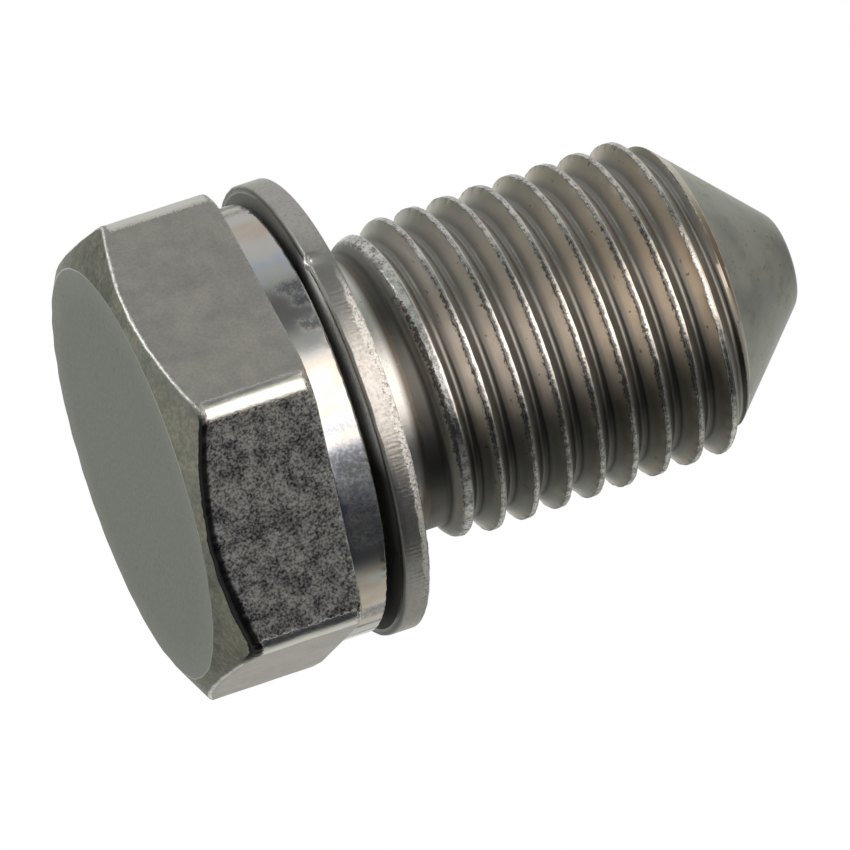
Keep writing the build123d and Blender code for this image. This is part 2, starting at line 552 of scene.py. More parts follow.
class ThreadGrid:
    """The thread's points: a column for each angle, and rows that follow the helix."""

    def __init__(self, angle):
        offsets = thread_offsets()
        self.per_turn = len(offsets)
        turns = int((THREAD_TOP - CREST_PHASE) / PITCH) + 3
        row = np.arange(turns * self.per_turn)
        self.turn = (row // self.per_turn - 2)[None, :] + angle[:, None] / (2 * math.pi)
        self.offset = np.broadcast_to(offsets[row % self.per_turn], self.turn.shape)
        self.spin = np.broadcast_to(angle[:, None], self.turn.shape)
        self.middle = CREST_PHASE + PITCH * self.turn
        self.blank = blank_radius(self.middle + self.offset)
        self.begun = ease(self.turn, *THREAD_RISES)
        groove_turn = self.turn + (self.offset > 0)
        early = 1.0 - ease(groove_turn, *WIDE_ROOT_ENDS)
        self.root_round = ROOT_ROUND + (FIRST_ROOT_ROUND - ROOT_ROUND) * early
        self.half_width = np.maximum(crest_half_width(self.blank, self.root_round), CREST_HALF_WIDTH)
        self.place_points()

    def place_points(self):
        """Height and radius: the rolled form, its uneven lips, the seam beside them and the cone's limit."""
        head_lip = peak(self.offset, -self.half_width, HEAD_LIP_REACH)
        tip_lip = peak(self.offset, self.half_width, TIP_LIP_REACH)
        wave = lip_wave(self.spin, self.middle)
        lumps = lip_lumps(self.spin, self.middle)
        shift = head_lip * (0.007 * wave + 0.009 * lumps) + tip_lip * 0.004 * lumps
        self.height = self.middle + self.offset + self.begun * shift

        form = groove_radius(np.abs(self.offset), self.root_round)
        form = np.where(np.abs(self.offset) <= CREST_HALF_WIDTH, CREST_RADIUS + 0.2, form)
        form = ROOT_RADIUS + (form - ROOT_RADIUS) * self.begun
        self.on_blank = ease(self.blank, *CREST_BEGINS)
        self.on_crest = ease(form - self.blank, -0.02, 0.06) * self.on_blank * self.begun
        seam = -SEAM_DEPTH * peak(self.offset, -self.half_width + 0.05, 0.05) * self.on_crest
        rough = CREST_WAVE_DEPTH * crest_wave(self.spin, self.height) * self.on_crest
        burr = head_lip * (0.007 * np.maximum(wave, -1.0) + 0.005) * self.on_crest
        radius = soft_min(form, self.blank, FORM_ROUND) + seam + rough + burr
        radius = radius + FLANK_WAVE_DEPTH * flank_wave(self.spin, self.height)
        cone = CREST_RADIUS - (self.height - CONE_START)
        self.radius = np.minimum(np.minimum(radius, cone), CREST_RADIUS + 0.02)

    def values(self):
        """What the thread's metal reads at each point."""
        degrees = np.degrees(self.spin) % 360.0
        hidden = ease(degrees, *HIDDEN_BEGINS)
        top_side = np.maximum(1.0 - ease(degrees, *TOP_ENDS), hidden)
        last_turn = ease(self.height, *LAST_TURN)
        past_crest = self.offset - self.half_width
        bright = self.on_crest * (1.0 - ease(past_crest, -0.09, -0.02))

        lip = np.clip(1.0 - np.abs(self.offset + self.half_width - 0.04) / 0.3, 0.0, 1.0)
        lip = lip * self.begun * self.on_blank
        lip = lip * (0.84 + 0.3 * zone(degrees, ROLLED_OVER) * (1.0 - last_turn))

        brown = ease(self.height, *BROWN_GROWS)
        brown = brown + 0.8 * ease(self.height, *RUST_GROWS) * peak(degrees, *RUST_PLACE)

        shade = 0.75 * zone(degrees, SHADED_SIDE) * (1.0 - 0.3 * ease(degrees, *SHADE_EASES))
        shade = shade + 0.25 * top_side
        top_edge = 1.0 - ease(degrees, *TOP_EDGE_ENDS)
        shade = shade * (1.0 - bright * np.maximum(last_turn, top_edge))
        groove_shade = self.groove_shade(degrees, top_side, past_crest, last_turn)
        return {"wear": bright, "grain": groove_shade, "lip": lip, "tint": brown, "shade": shade}

    def groove_shade(self, degrees, top_side, past_crest, last_turn):
        """Painted shade on the tip flank, in the root and at the head flank's foot, and over the whole
        run-in.
        """
        low_side = zone(degrees, LOW_SIDE)
        underside = zone(degrees, UNDERSIDE)
        root_shade = ROOT_SHADE + 0.6 * zone(degrees, BLACK_ROOTS)
        flank_shade = 1.0 + 0.75 * low_side + 0.35 * top_side
        root_shine = 1.0 - 0.5 * peak(self.offset, 0.64, 0.09)
        groove_shade = flank_shade * ease(past_crest, -0.06, 0.05) * root_shine
        groove_shade = groove_shade + (root_shade - flank_shade) * ease(self.offset, 0.69, 0.74)
        groove_shade = groove_shade + (1.0 + 0.6 * low_side) * np.clip((-self.offset - 0.25) / 0.5, 0.0, 1.0)
        groove_shade = groove_shade + (root_shade - 0.7) * (1.0 - ease(self.offset, -0.68, -0.46))
        groove_shade = groove_shade * self.begun + RUN_IN_SHADE * (1.0 - self.begun)

        first_turn = 1.0 - ease(self.turn, *FIRST_TURN_ENDS)
        groove_shade = groove_shade + 0.8 * first_turn * (1.0 - ease(self.offset, -0.3, -0.1)) * self.begun
        lit_root = zone(degrees, LIT_SIDE) * (1.0 - underside) * ease(self.offset, 0.62, 0.7)
        groove_shade = groove_shade + 0.5 * last_turn * lit_root
        tip_half = ease(self.offset, 0.0, 0.2)
        return groove_shade - last_turn * tip_half * (0.15 * top_side + 0.5 * underside)


def sew_columns(skin, numbers, ends, per_turn, lower, upper):
    """Faces between neighbouring columns of the thread, and from their ends to the level rings."""
    for j, (first, last) in enumerate(ends):
        k = (j + 1) % len(ends)
        shift = per_turn if k == 0 else 0
        here, there = numbers[j], np.roll(numbers[k], -shift)
        next_first, next_last = ends[k][0] - shift, ends[k][1] - shift
        faces = [(lower[j], lower[k], there[next_first])]
        faces += [(lower[j], there[g], there[g + 1]) for g in range(next_first, first)]
        faces.append((lower[j], there[first], here[first]))
        faces += [(here[g], there[g], there[g + 1], here[g + 1]) for g in range(first, next_last)]
        faces.append((upper[k], here[next_last], there[next_last]))
        faces += [(upper[k], here[g + 1], here[g]) for g in range(next_last, last)]
        faces.append((upper[k], upper[j], here[last]))
        for corners in faces:
            skin.face(corners, "rolled")


def add_thread(skin, angle, lower, upper):
    """The helical skin between two level rings."""
    grid = ThreadGrid(angle)
    values = grid.values()
    keep = (grid.height > THREAD_BOTTOM + ROW_CLEARANCE) & (grid.height < THREAD_TOP - ROW_CLEARANCE)
    numbers = np.full(keep.shape, -1, dtype=int)
    ends = []
    for j, column in enumerate(keep):
        rows = np.flatnonzero(column)
        ends.append((rows[0], rows[-1]))
        part = slice(rows[0], rows[-1] + 1)
        numbers[j, part] = skin.ring(
            grid.spin[j, part],
            grid.radius[j, part],
            grid.height[j, part],
            **{name: value[j, part] for name, value in values.items()},
        )
    sew_columns(skin, numbers, ends, grid.per_turn, lower, upper)


def add_cone(skin, angle, cone_edge, edge_radius):
    """The pilot cone from its edge at the thread to its rounded end."""
    tangent = TIP_ROUND * math.tan(CONE_ANGLE / 2)
    cone_end = TIP_RADIUS + tangent * math.cos(CONE_ANGLE)
    cone = [cone_edge]
    for share in (0.15, 0.35, 0.55, 0.75, 0.9, 1.0):
        radius = edge_radius * (1 - share) + cone_end * share
        height = CONE_START + CREST_RADIUS - radius
        dent = CONE_WAVE_DEPTH * cone_wave(angle, height) * math.sin(math.pi * share)
        cone.append(skin.ring(angle, radius + dent, height))
    for turn in np.radians([54.0, 63.0, 72.0, 81.0, 90.0]):
        radius = TIP_RADIUS - tangent + TIP_ROUND * math.cos(turn)
        height = TOTAL_HEIGHT - TIP_ROUND * (1 - math.sin(turn))
        cone.append(skin.ring(angle, radius, height))
    skin.chain(cone, "cone")
    small = skin.ring(angle[::2], 0.8, TOTAL_HEIGHT)
    skin.join(cone[-1], small, "cone")
    middle = skin.ring([0.0], 0.0, TOTAL_HEIGHT)[0]
    skin.cap(small, middle, "cone")


def add_shank(skin, collar_edge):
    """The collar's washer side, neck, thread and pilot cone."""
    angle = np.linspace(0, 2 * math.pi, SHANK_COLUMNS, endpoint=False)
    # Painted shade on the neck's end where it runs into the thread, starting nearer the head on the low
    # side.
    shade_from = NECK_SHADE_HEIGHT - NECK_SHADE_LOWER * peak(np.degrees(angle), *NECK_SHADE_PLACE)
    neck = [collar_edge]
    for radius, height in neck_profile():
        neck.append(skin.ring(angle, radius, height, grain=ease(height - shade_from, 0.05, 0.4)))
    skin.chain(neck[:3], "gap")
    skin.chain(neck[2:], "neck")
    start_radius = blank_radius(np.full(angle.shape, THREAD_BOTTOM))
    start = skin.ring(angle, start_radius, THREAD_BOTTOM, grain=RUN_IN_SHADE)
    skin.join(neck[-1], start, "neck")

    edge_radius = CREST_RADIUS - (THREAD_TOP - CONE_START)
    cone_edge = skin.ring(angle, edge_radius, THREAD_TOP)
    add_thread(skin, angle, start, cone_edge)
    add_cone(skin, angle, cone_edge, edge_radius)


def make_plug(materials):
    """The plug body, from the face of its head to the end of its cone."""
    skin = Skin()
    add_shank(skin, add_head(skin))
    return skin.build("plug_body_finish", materials)


# The washer


# Zones round the washer, given like those of the head
TORN_RIM = (206.0, 236.0, 300.0, 336.0)
# Painted light on the washer's side of the gap is strongest here.
LIT_UNDERSIDE = (200.0, 228.0, 252.0, 272.0)
# Painted shade on the roll's low side.
RIM_SHADE_SIDE = (256.0, 270.0, 296.0, 310.0)

# Single places round the washer: angle and half width, in degrees
NICK = (211.0, 2.4)
# The edge highlight is a painted highlight line along the washer's roll.
EDGE_HIGHLIGHT = (217.0, 13.0)
WIDER_TEAR = (238.0, 34.0)
# A patch of painted shade on the rim.
RIM_SHADE_PATCH = (318.0, 27.0)

# Degrees between which the painted light on the top of the underside ends
TOP_LIGHT_ENDS = (192.0, 212.0)

NICK_DEPTH = 0.12
RIM_INSET = 0.03
TEAR_WIDTH = 0.3

wide_wave = Ripple(41, 2, 9, 0.2, 1.0)
strokes = Ripple(42, 200, 560, 0.0, 0.6, 120)
crumbs = Ripple(43, 140, 520, 12.0, 45.0, 160)
edge_wave = Ripple(44, 8, 60, 0.2, 1.0)


def washer_underside(skin, angle, nick, edge_highlight):
    """The side towards the head, with painted light where light comes into the gap. Returns its rings from
    the bore outwards.
    """
    degrees = np.degrees(angle)
    top_light = np.maximum(1.0 - ease(degrees, *TOP_LIGHT_ENDS), ease(degrees, *HIDDEN_BEGINS))
    gap_light = 0.02 + 0.88 * zone(degrees, LIT_UNDERSIDE) + 0.35 * top_light
    return [
        skin.ring(angle, BORE_RADIUS + 0.08, WASHER_BOTTOM),
        skin.ring(angle, 8.0, WASHER_BOTTOM, grain=0.6 * gap_light),
        skin.ring(angle, 8.6, WASHER_BOTTOM, grain=gap_light),
        skin.ring(angle, 9.2, WASHER_BOTTOM, grain=gap_light, wear=0.5 * edge_highlight),
        skin.ring(angle, 9.6, WASHER_BOTTOM - NICK_DEPTH * nick, grain=gap_light, wear=edge_highlight),
    ]


def washer_rim(skin, angle, torn, nick, edge_highlight):
    """The rolled edge, the sheared band and the torn band. Returns their rings and the rim's radius."""
    degrees = np.degrees(angle)
    rim_shade_patch = 0.5 * peak(degrees, *RIM_SHADE_PATCH)
    low_rim_shade = zone(degrees, RIM_SHADE_SIDE)
    roll = RIM_ROLL + 0.02 * wide_wave(angle)
    rim = RIM_RADIUS - RIM_INSET + 0.008 * wide_wave(angle, 3.0)
    torn_width = TEAR_WIDTH + 0.1 * peak(degrees, *WIDER_TEAR)
    split = WASHER_TOP - 0.06 - torn_width + 0.02 * edge_wave(angle)

    rings = []
    for turn in np.radians(np.linspace(-90.0, 0.0, 9)):
        radius = rim - roll + roll * math.cos(turn) - NICK_DEPTH * nick * (1 + math.sin(turn))
        height = WASHER_BOTTOM + roll * (1 + math.sin(turn))
        height = height + 0.012 * edge_wave(angle, 2.0) * math.cos(turn)
        height = height - NICK_DEPTH * nick * (1.0 - math.cos(turn))
        rolled = math.degrees(turn)
        # The nick is worn bright, and the line along the roll is a painted highlight.
        worn = np.maximum(nick, peak(rolled, -80.0, 40.0) * edge_highlight)
        # Painted shade: the roll's inner part by the gap, its low side and a patch of the rim are darkened.
        rim_shade = 0.7 * (1.0 - ease(rolled, -85.0, -50.0)) * (1.0 - edge_highlight)
        rim_shade = np.maximum(rim_shade, 0.85 * low_rim_shade * (1.0 - ease(rolled, -45.0, -5.0)))
        rings.append(skin.ring(angle, radius, height, wear=worn, tint=np.maximum(rim_shade, rim_shade_patch)))
    for share in (0.3, 0.65, 1.0):
        height = (WASHER_BOTTOM + roll) * (1 - share) + split * share
        radius = rim + 0.0015 * strokes(angle, height) * (0.3 + torn) - 0.05 * nick * (1 - share)
        rings.append(skin.ring(angle, radius, height, grain=0.2 * torn, tint=rim_shade_patch))
    for share in np.linspace(0.12, 1.0, 8):
        height = split * (1 - share) + (WASHER_TOP - 0.05) * share
        pit = crumbs(angle, height)
        radius = rim - 0.01 * torn + (0.006 * torn + 0.001) * pit - 0.03 * torn * share
        grains = torn * peak(share, 0.6, 0.7)
        rings.append(skin.ring(angle, radius, height, grain=grains, tint=rim_shade_patch))
    return rings, rim


def washer_top_side(skin, angle, torn, rim):
    """The burr beside the torn band, the side towards the tip and the bore. Returns their rings."""
    burr = 0.015 * torn * (1 + edge_wave(angle, 5.0))
    rings = [skin.ring(angle, rim - 0.05, WASHER_TOP - 0.02 + np.clip(burr, 0.0, 0.02), wear=torn)]
    for radius, height in (
        (rim - 0.15, WASHER_TOP),
        (8.6, WASHER_TOP),
        (BORE_RADIUS + 0.1, WASHER_TOP),
        (BORE_RADIUS, WASHER_TOP - 0.1),
        (BORE_RADIUS, (WASHER_TOP + WASHER_BOTTOM) / 2),
        (BORE_RADIUS, WASHER_BOTTOM + 0.08),
    ):
        rings.append(skin.ring(angle, radius, height))
    return rings


def make_washer(materials):
    """A stamped ring: rolled edge towards the head, sheared rim, and a torn band towards the tip."""
    skin = Skin()
    angle = np.linspace(0, 2 * math.pi, WASHER_COLUMNS, endpoint=False)
    degrees = np.degrees(angle)
    torn = zone(degrees, TORN_RIM)
    nick = peak(degrees, *NICK)
    # A painted highlight along the washer's roll.
    edge_highlight = peak(degrees, *EDGE_HIGHLIGHT)

    underside = washer_underside(skin, angle, nick, edge_highlight)
    rim_rings, rim = washer_rim(skin, angle, torn, nick, edge_highlight)
    rest = washer_top_side(skin, angle, torn, rim)
    skin.chain(underside, "gap")
    skin.chain([underside[-1]] + rim_rings + rest, "washer_rim")
    skin.join(rest[-1], underside[0], "gap")
    skin.points = [
        (x + WASHER_SHIFT[0], y + WASHER_SHIFT[1], z + WASHER_TILT[0] * x + WASHER_TILT[1] * y)
        for x, y, z in skin.points
    ]
    return skin.build("washer_finish", materials)


# Materials


# The colour sockets of a Mix node, by number because they share their names
MIX_FROM = 6
MIX_TO = 7
MIX_RESULT = 2


def add_node(tree, kind, inputs=None, **settings):
    """A new node. Each of its inputs here is a socket to link, a colour as a tuple, or a plain value."""
    node = tree.nodes.new(kind)
    for key, value in settings.items():
        setattr(node, key, value)
    for key, value in (inputs or {}).items():
        if isinstance(value, bpy.types.NodeSocket):
            tree.links.new(value, node.inputs[key])
        else:
            node.inputs[key].default_value = (*value, 1.0) if isinstance(value, tuple) else value
    return node


class Nodes:
    """A short hand for the nodes of one metal."""

    def __init__(self, name, colour, roughness):
        self.material = bpy.data.materials.new(name)
        self.material.use_nodes = True
        self.tree = self.material.node_tree
        self.shader = self.tree.nodes["Principled BSDF"]
        self.shader.inputs["Base Color"].default_value = (*colour, 1.0)
        self.shader.inputs["Metallic"].default_value = 1.0
        self.shader.inputs["Roughness"].default_value = roughness
        self.place = self.node("ShaderNodeTexCoord").outputs["Object"]

    def node(self, kind, inputs=None, **settings):
        return add_node(self.tree, kind, inputs, **settings)

    def give(self, socket, name):
        """Links a socket to one of the shader's inputs."""
        self.tree.links.new(socket, self.shader.inputs[name])

    def noise(self, per_mm, detail=3.0, roughness=0.55):
        """Noise in the part's own space, so that it stays on the part as it moves."""
        inputs = {"Vector": self.place, "Scale": per_mm / MM, "Detail": detail, "Roughness": roughness}
        return self.node("ShaderNodeTexNoise", inputs).outputs["Fac"]

    def value(self, name):
        """One of the skin's values at each point."""
        return self.node("ShaderNodeAttribute", attribute_name=name).outputs["Fac"]

    def spread(self, source, low, high, to_low=0.0, to_high=1.0):
        """The source's range from low to high, eased into another range."""
        inputs = {"Value": source, "From Min": low, "From Max": high, "To Min": to_low, "To Max": to_high}
        return self.node("ShaderNodeMapRange", inputs, interpolation_type="SMOOTHSTEP").outputs["Result"]

    def times(self, a, b):
        return self.node("ShaderNodeMath", {0: a, 1: b}, operation="MULTIPLY").outputs["Value"]

    def plus(self, a, b, clamp=True):
        return self.node("ShaderNodeMath", {0: a, 1: b}, operation="ADD", use_clamp=clamp).outputs["Value"]

    def mix(self, share, a, b):
        """Colour a where the share is nothing and colour b where it is one. Each is a colour or a socket."""
        inputs = {"Factor": share, MIX_FROM: a, MIX_TO: b}
        return self.node("ShaderNodeMix", inputs, data_type="RGBA").outputs[MIX_RESULT]

    def blend(self, pattern, a, b, low=0.35, high=0.65):
        """Starts the colour, which goes from a to b as the pattern goes from low to high."""
        self.tint = self.mix(self.spread(pattern, low, high), a, b)

    def over(self, share, colour):
        """Lays a colour over what is there, and gives the result to the shader."""
        self.tint = self.mix(share, self.tint, colour)
        self.give(self.tint, "Base Color")

    def roughness(self, socket):
        self.give(socket, "Roughness")

    def bump(self, height, depth_mm):
        inputs = {"Strength": 1.0, "Distance": depth_mm * MM, "Height": height}
        self.give(self.node("ShaderNodeBump", inputs).outputs["Normal"], "Normal")


def crown_metal():
    """The crown's face: dull and pitted, with a bright edge."""
    m = Nodes("crown_zinc", (0.46, 0.47, 0.44), 0.48)
    patch = m.noise(0.35, 3.0)
    grit = m.noise(5.5, 3.0, 0.6)
    m.blend(patch, (0.49, 0.505, 0.47), (0.55, 0.56, 0.525))
    m.over(m.spread(grit, 0.25, 0.75, 0.5, 0.0), (0.30, 0.31, 0.28))
    pits = m.spread(m.noise(2.2, 4.0, 0.65), 0.64, 0.72, 0.0, 0.7)
    m.over(pits, (0.20, 0.21, 0.19))
    m.over(m.value("wear"), (0.88, 0.88, 0.85))
    dull = m.spread(patch, 0.3, 0.7, 0.44, 0.52)
    m.roughness(m.plus(dull, m.spread(m.value("wear"), 0.0, 0.6, 0.0, -0.2)))
    m.bump(grit, 0.006)
    return m.material


def chamfer_metal():
    m = Nodes("crown_chamfer_zinc", (0.40, 0.40, 0.35), 0.45)
    patch = m.noise(0.7, 4.0, 0.65)
    grit = m.noise(5.0, 3.0, 0.65)
    m.blend(patch, (0.45, 0.455, 0.41), (0.62, 0.59, 0.50), 0.38, 0.62)
    m.over(m.spread(grit, 0.35, 0.65, 0.45, 0.0), (0.22, 0.225, 0.19))
    m.roughness(m.spread(patch, 0.3, 0.7, 0.38, 0.5))
    m.bump(grit, 0.008)
    return m.material


def flat_metal():
    """The wrench flats: one is peppered with dark grit that is partly painted shade, the others are
    smoother, corners are bright, and the edge by the chamfer is painted near black shade on the low side.
    """
    m = Nodes("wrench_flat_zinc", (0.50, 0.48, 0.46), 0.42)
    blunt_and_shaded = m.spread(m.value("grain"), 0.3, 0.9)
    grit_and_shade = m.value("tint")
    patch = m.noise(0.6, 4.0, 0.6)
    grit = m.noise(8.5, 4.0, 0.7)
    cloud = m.noise(1.5, 3.0, 0.6)
    m.blend(patch, (0.51, 0.49, 0.475), (0.57, 0.55, 0.52))
    pepper = m.spread(m.plus(grit, m.spread(cloud, 0.3, 0.7, -0.05, 0.05)), 0.32, 0.68, 1.0, 0.0)
    # Grit on every flat, and on the lower flat dense dark pepper that is partly painted shade.
    m.over(m.spread(grit_and_shade, 0.2, 0.9), (0.57, 0.57, 0.57))
    m.over(m.times(grit_and_shade, pepper), (0.05, 0.05, 0.056))
    ragged = m.plus(m.value("wear"), m.spread(grit, 0.3, 0.7, -0.25, 0.25))
    worn = m.spread(ragged, 0.45, 0.65)
    m.over(worn, (0.84, 0.83, 0.80))
    # Painted shade: the blunt edge on the low side is laid near black.
    m.over(blunt_and_shaded, (0.05, 0.05, 0.052))
    dull = m.plus(m.spread(cloud, 0.35, 0.65, 0.38, 0.46), m.spread(worn, 0.0, 1.0, 0.0, -0.2))
    m.roughness(m.plus(dull, m.spread(blunt_and_shaded, 0.0, 0.8, 0.0, -0.12)))
    m.bump(m.times(grit, m.spread(worn, 0.0, 1.0, 0.4, 1.0)), 0.012)
    return m.material


def collar_metal():
    """The turned collar: mirror bright, with faint yellow and blue stains and dull dark patches, two of
    which are painted shade.
    """
    m = Nodes("turned_collar_zinc", (0.66, 0.65, 0.63), 0.16)
    wash = m.noise(0.9, 4.0, 0.6)
    stain = m.plus(m.value("tint"), m.spread(wash, 0.3, 0.7, -0.3, 0.3), clamp=False)
    dull = m.value("grain")
    speck = m.noise(6.0, 4.0, 0.75)
    m.blend(stain, (0.64, 0.635, 0.625), (0.62, 0.53, 0.43), -0.1, 1.0)
    m.over(m.spread(stain, 0.1, -1.0), (0.53, 0.59, 0.70))
    spots = m.spread(m.plus(dull, m.spread(speck, 0.25, 0.75, -0.5, 0.5)), 0.1, 1.1)
    # Dark spots of the dull patches, two of which are painted shade.
    m.over(m.times(spots, m.spread(dull, 0.0, 1.0, 0.0, 0.9)), (0.15, 0.16, 0.18))
    worn = m.spread(m.plus(m.value("wear"), m.spread(speck, 0.3, 0.7, -0.3, 0.3)), 0.4, 0.7)
    m.over(worn, (0.84, 0.83, 0.80))
    m.roughness(m.plus(m.spread(wash, 0.3, 0.7, 0.12, 0.18), m.spread(dull, 0.1, 0.8, 0.0, 0.22)))
    m.bump(m.times(speck, m.spread(dull, 0.0, 0.8, 0.1, 1.0)), 0.008)
    return m.material


def neck_metal():
    m = Nodes("neck_zinc", (0.72, 0.715, 0.70), 0.28)
    patch = m.noise(0.5, 3.0, 0.55)
    grit = m.noise(5.0, 3.0, 0.6)
    m.blend(patch, (0.69, 0.685, 0.67), (0.75, 0.745, 0.73))
    # Painted shade at the neck's end, where the thread begins.
    m.over(m.value("grain"), (0.15, 0.13, 0.11))
    m.over(m.spread(grit, 0.62, 0.72, 0.0, 0.6), (0.30, 0.29, 0.28))
    m.roughness(m.spread(patch, 0.3, 0.7, 0.33, 0.40))
    m.bump(grit, 0.004)
    return m.material


def rolled_metal():
    """The thread: bright pitted crests with a dark lip, tan flanks to the head, and painted shade on the
    flanks to the tip, in the roots and on the low side.
    """
    m = Nodes("rolled_thread_zinc", (0.98, 0.91, 0.84), 0.28)
    crest = m.spread(m.value("wear"), 0.2, 0.9)
    groove_shade = m.value("grain")
    brown = m.value("tint")
    fine = m.noise(7.0, 4.0, 0.75)
    patch = m.noise(0.4, 3.0, 0.55)
    m.blend(patch, (0.98, 0.91, 0.84), (0.94, 0.90, 0.86))
    m.over(m.spread(brown, 0.0, 1.0), (0.97, 0.85, 0.72))
    m.over(m.spread(brown, 1.0, 1.8), (0.46, 0.34, 0.23))
    m.over(m.spread(m.noise(2.4, 2.0, 0.6), 0.68, 0.73, 0.0, 0.8), (0.18, 0.14, 0.11))
    m.over(m.value("shade"), (0.22, 0.21, 0.19))
    # Painted shade in the grooves, nearly black at its strongest.
    m.over(m.spread(groove_shade, 0.0, 1.0), (0.42, 0.41, 0.39))
    m.over(m.spread(groove_shade, 1.0, 2.0), (0.09, 0.088, 0.082))
    coarse = m.noise(2.6, 3.0, 0.65)
    crest_tint = m.mix(m.spread(coarse, 0.38, 0.62), (0.56, 0.56, 0.55), (0.84, 0.84, 0.83))
    m.over(crest, crest_tint)
    pitted = m.spread(m.plus(fine, m.spread(coarse, 0.3, 0.7, -0.08, 0.08)), 0.34, 0.56, 1.0, 0.0)
    # The crest's dark pits follow the painted shade, so the crest is cleaner where it is lit.
    pitted = m.times(pitted, m.spread(m.value("shade"), 0.0, 0.2, 0.25, 0.85))
    m.over(m.times(crest, pitted), (0.16, 0.16, 0.16))
    seam = m.spread(m.plus(m.value("lip"), m.spread(fine, 0.2, 0.8, -0.3, 0.3)), 0.76, 0.94, 0.0, 0.9)
    m.over(seam, (0.08, 0.08, 0.08))
    rough = m.plus(m.spread(patch, 0.3, 0.7, 0.27, 0.33), m.spread(crest, 0.0, 1.0, 0.0, -0.09))
    rough = m.plus(rough, m.times(crest, m.spread(m.value("shade"), 0.1, 0.6, 0.0, 0.28)))
    m.roughness(m.plus(rough, m.spread(groove_shade, 0.0, 1.0, 0.0, 0.1)))
    m.bump(m.times(fine, m.spread(crest, 0.0, 1.0, 0.08, 1.0)), 0.012)
    return m.material


def cone_metal():
    m = Nodes("pilot_cone_zinc", (0.50, 0.505, 0.475), 0.4)
    patch = m.noise(0.5, 4.0, 0.6)
    mottle = m.spread(m.noise(0.9, 4.0, 0.65), 0.50, 0.68, 0.0, 0.7)
    m.blend(patch, (0.50, 0.505, 0.475), (0.57, 0.57, 0.54))
    m.over(mottle, (0.40, 0.41, 0.37))
    m.over(m.spread(m.noise(4.0, 3.0, 0.6), 0.62, 0.72, 0.0, 0.7), (0.24, 0.24, 0.21))
    m.roughness(m.spread(patch, 0.3, 0.7, 0.33, 0.44))
    m.bump(m.noise(6.0, 3.0), 0.008)
    return m.material


def gap_metal():
    """The faces inside the gap between collar and washer: painted shade, with painted light on the washer's
    side where light comes in, and a painted highlight near its edge.
    """
    m = Nodes("gap_painted_shade", (0.05, 0.05, 0.047), 0.5)
    m.shader.inputs["Metallic"].default_value = 0.0
    m.shader.inputs["Specular IOR Level"].default_value = 0.15
    patch = m.noise(0.6, 4.0, 0.6)
    fine = m.noise(6.0, 4.0, 0.7)
    # Near black painted shade inside the gap.
    m.blend(patch, (0.02, 0.02, 0.018), (0.04, 0.04, 0.036))
    # Painted light on the washer's side of the gap.
    m.over(m.value("grain"), (0.58, 0.57, 0.54))
    m.over(m.times(m.value("grain"), m.spread(fine, 0.3, 0.6, 0.7, 0.0)), (0.10, 0.10, 0.09))
    # A painted highlight along the washer's edge.
    m.over(m.value("wear"), (0.92, 0.91, 0.88))
    m.roughness(m.spread(patch, 0.3, 0.7, 0.45, 0.6))
    m.bump(m.noise(5.0, 3.0), 0.008)
    return m.material


def washer_rim_metal():
    """The washer's rim: a rolled edge darkened by painted shade, a sheared band and bright torn grains along
    the tip side.
    """
    m = Nodes("washer_rim_steel", (0.60, 0.58, 0.56), 0.32)
    torn = m.value("grain")
    patch = m.noise(0.5, 4.0, 0.6)
    fine = m.noise(7.0, 4.0, 0.75)
    m.blend(patch, (0.48, 0.47, 0.455), (0.55, 0.535, 0.515))
    m.over(m.spread(torn, 0.1, 0.6), (0.96, 0.95, 0.93))
    pits = m.times(m.spread(fine, 0.46, 0.72), m.spread(torn, 0.1, 0.6, 0.4, 0.85))
    m.over(pits, (0.20, 0.19, 0.18))
    # Painted shade on the roll and on a patch of the rim.
    m.over(m.value("tint"), (0.10, 0.10, 0.095))
    # The burr and nick are worn bright, and the line along the roll is a painted highlight.
    worn = m.spread(m.plus(m.value("wear"), m.spread(fine, 0.3, 0.7, -0.3, 0.3)), 0.4, 0.7, 0.0, 0.95)
    m.over(worn, (0.88, 0.87, 0.84))
    rough = m.plus(m.spread(fine, 0.3, 0.7, 0.28, 0.38), m.spread(torn, 0.1, 0.6, 0.0, 0.25))
    m.roughness(m.plus(rough, m.spread(worn, 0.0, 0.8, 0.0, -0.12)))
    m.bump(m.times(fine, m.spread(torn, 0.0, 0.6, 0.12, 1.0)), 0.018)
    return m.material


# Studio


